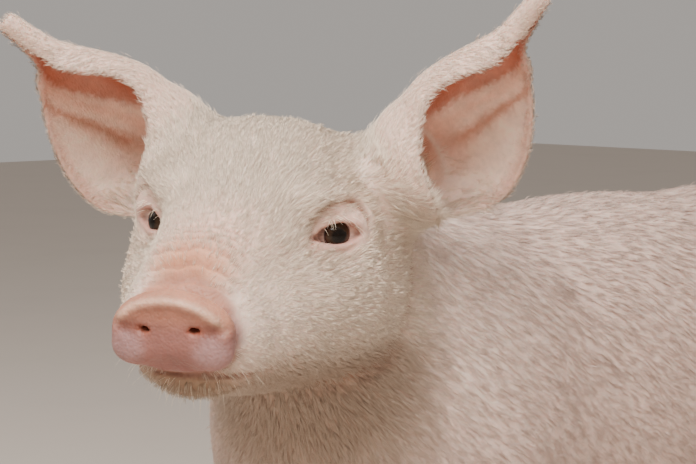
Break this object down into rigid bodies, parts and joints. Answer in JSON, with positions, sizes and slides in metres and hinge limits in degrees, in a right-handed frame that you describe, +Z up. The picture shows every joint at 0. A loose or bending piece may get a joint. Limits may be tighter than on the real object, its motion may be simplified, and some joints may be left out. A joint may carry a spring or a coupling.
{
  "type": "piglet",
  "caption": "Life-size still model of a young white piglet standing square, head up and turned to its left, ears spread, tail in a loose curl.",
  "frame": {"origin": "middle of the whole piglet's box, on the floor under it", "axes": "+Z up; the body faces -Y, so its left side is +X and its tail +Y"},
  "size_m": [0.2136, 0.5482, 0.4048],
  "materials": {
    "coat_skin": "pink skin under short flat white hair, soft satin",
    "snout_skin": "bare moist pink skin, satin with a damp shine",
    "ear_skin": "thin pink skin, light showing through, white down at the edges",
    "hoof_horn": "dull horn, paler at the coronet",
    "eye": "wet, dark brown iris, pale at the corners"
  },
  "bodies": {
    "root": {"claw_fore_left_inner": "hoof_horn", "claw_fore_left_outer": "hoof_horn", "claw_fore_right_inner": "hoof_horn", "claw_fore_right_outer": "hoof_horn", "claw_hind_left_inner": "hoof_horn", "claw_hind_left_outer": "hoof_horn", "claw_hind_right_inner": "hoof_horn", "claw_hind_right_outer": "hoof_horn", "dewclaw_fore_left_inner": "hoof_horn", "dewclaw_fore_left_outer": "hoof_horn", "dewclaw_fore_right_inner": "hoof_horn", "dewclaw_fore_right_outer": "hoof_horn", "dewclaw_hind_left_inner": "hoof_horn", "dewclaw_hind_left_outer": "hoof_horn", "dewclaw_hind_right_inner": "hoof_horn", "dewclaw_hind_right_outer": "hoof_horn", "ear_left": "ear_skin", "ear_right": "ear_skin", "eye_left": "eye", "eye_right": "eye", "foreleg_left": "coat_skin", "foreleg_right": "coat_skin", "head": "coat_skin", "hindleg_left": "coat_skin", "hindleg_right": "coat_skin", "jaw": "coat_skin", "neck": "coat_skin", "snout": "snout_skin", "tail": "coat_skin", "trunk": "coat_skin"}
  },
  "joints": []
}
